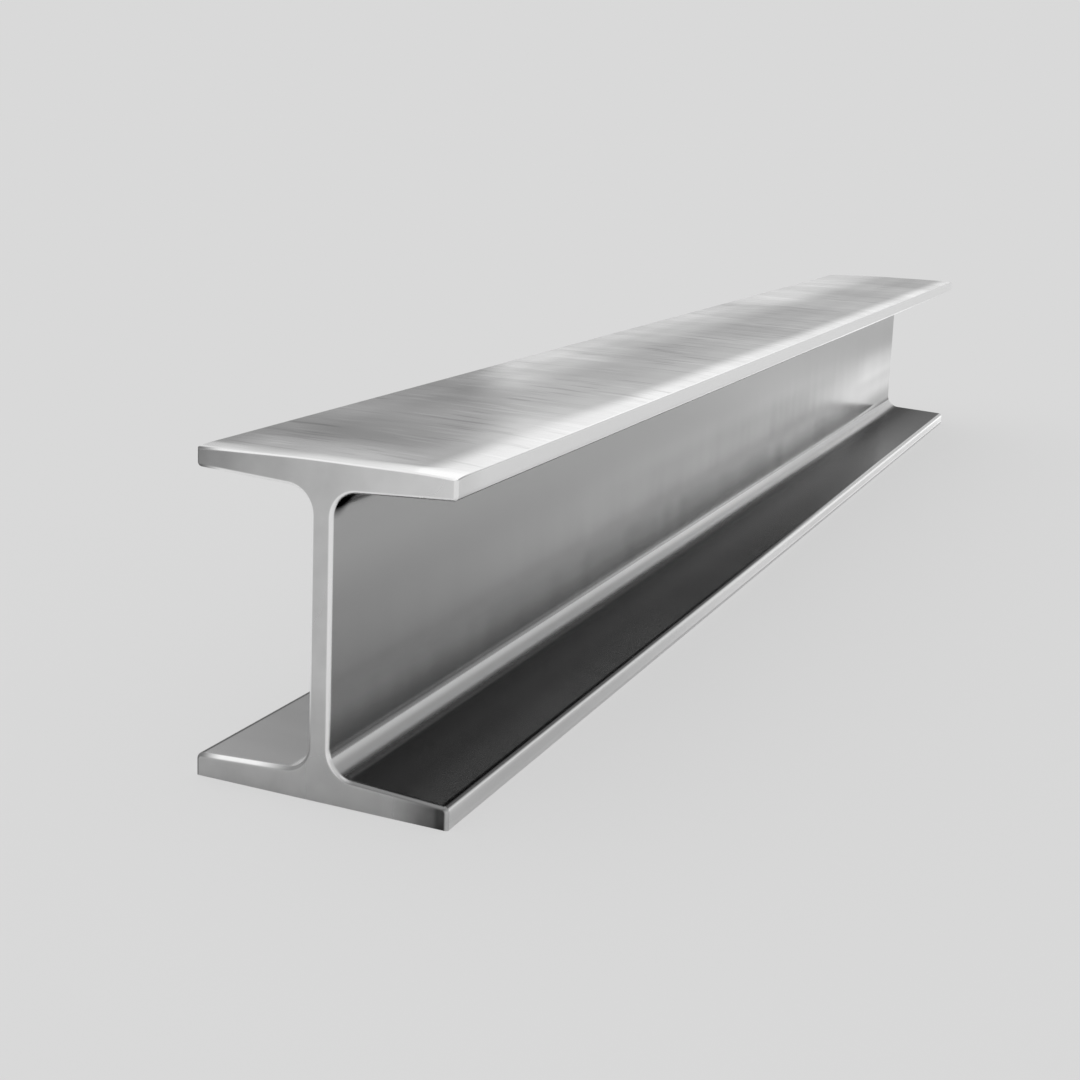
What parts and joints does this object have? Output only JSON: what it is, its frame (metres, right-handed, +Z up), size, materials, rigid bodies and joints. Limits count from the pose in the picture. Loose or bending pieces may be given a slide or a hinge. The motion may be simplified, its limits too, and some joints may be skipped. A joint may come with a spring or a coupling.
{
  "type": "steel i-beam",
  "caption": "Length of rolled steel I-section beam with slightly tapered flanges, filleted web roots and squarely cut, edge-dressed ends.",
  "frame": {"origin": "middle of the beam's underside, on the floor it lies on", "axes": "+X along the beam, +Y across the flanges, +Z up through the web from the lower flange to the upper one"},
  "size_m": [1.165, 0.127, 0.1524],
  "materials": {
    "brushed_steel": "bright mill-cleaned steel, finely brushed across the flanges, satin"
  },
  "bodies": {
    "root": {"i_beam": "brushed_steel"}
  },
  "joints": []
}
